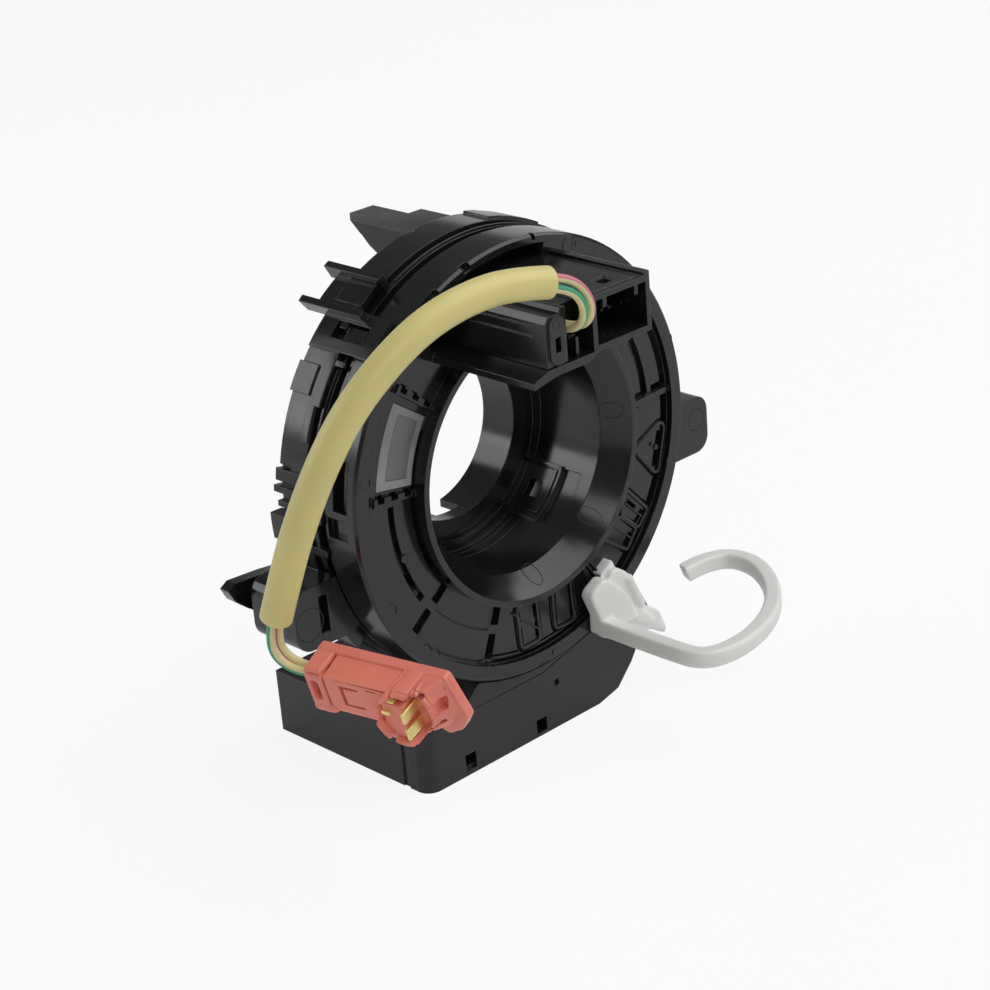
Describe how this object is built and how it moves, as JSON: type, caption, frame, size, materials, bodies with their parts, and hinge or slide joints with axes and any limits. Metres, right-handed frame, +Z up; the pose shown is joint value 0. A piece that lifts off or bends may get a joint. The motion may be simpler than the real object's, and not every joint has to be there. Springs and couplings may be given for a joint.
{
  "type": "steering clock spring",
  "caption": "Rotary electrical connector for a steering column: rotor ring with plug tower, fixed case with coiled flat cable, airbag lead and removable transport lock.",
  "frame": {"origin": "on the bore axis, in the plane of the rotor rim's front face", "axes": "+Y along the bore away from the steering wheel, +Z up with the connector block below, +X to the right seen from the steering wheel"},
  "size_m": [0.1492, 0.0953, 0.1233],
  "materials": {
    "black_satin": "satin moulded, fine grain",
    "cam_black": "semi-gloss moulded",
    "insulator_black": "matte moulded",
    "window_grey": "frosted",
    "contact_tin": "tin plated",
    "contact_brass": "plated, bright",
    "ribbon_amber": "clear amber film over flat copper tracks",
    "slip_white": "smooth low-friction sheet",
    "wire_green": "yellow insulation with a green stripe",
    "wire_red": "yellow insulation with a pink-red stripe",
    "sheath_yellow": "soft vinyl sleeving",
    "plug_red": "satin moulded",
    "lock_clear": "natural, slightly translucent"
  },
  "bodies": {
    "stator": {"stator_case": "black_satin", "rear_case": "black_satin", "slip_sheet_rear": "slip_white", "case_end_block": "insulator_black", "busbar_plate": "insulator_black", "block_front_cover": "black_satin", "vehicle_pins": "contact_tin"},
    "rotor": {"rotor": "black_satin", "terminal_cover": "black_satin", "lead_terminal_holder": "black_satin", "lead_terminals": "contact_tin", "switch_pin_carrier": "insulator_black", "switch_pins": "contact_tin", "hub_end_block": "insulator_black", "inspection_window": "window_grey", "inner_sleeve": "black_satin", "cancel_cam": "cam_black", "flat_cable": "ribbon_amber", "slip_sheet_front": "slip_white", "lead_wire_green": "wire_green", "lead_wire_red": "wire_red", "lead_sheath": "sheath_yellow", "airbag_plug_housing": "plug_red", "airbag_plug_cover": "plug_red", "airbag_plug_latch": "plug_red", "airbag_plug_contacts": "contact_brass"},
    "lock": {"transport_lock": "lock_clear"}
  },
  "joints": [
    {"name": "rotor_turn", "type": "hinge", "parent": "stator", "child": "rotor", "pos_m": [0, 0, 0], "axis": [0, 1, 0], "range_deg": [-900, 900], "deforming": ["flat_cable"]},
    {"name": "lock_slide", "type": "slide", "parent": "rotor", "child": "lock", "axis": [0, -1, 0], "range_m": [0, 0.018]}
  ]
}
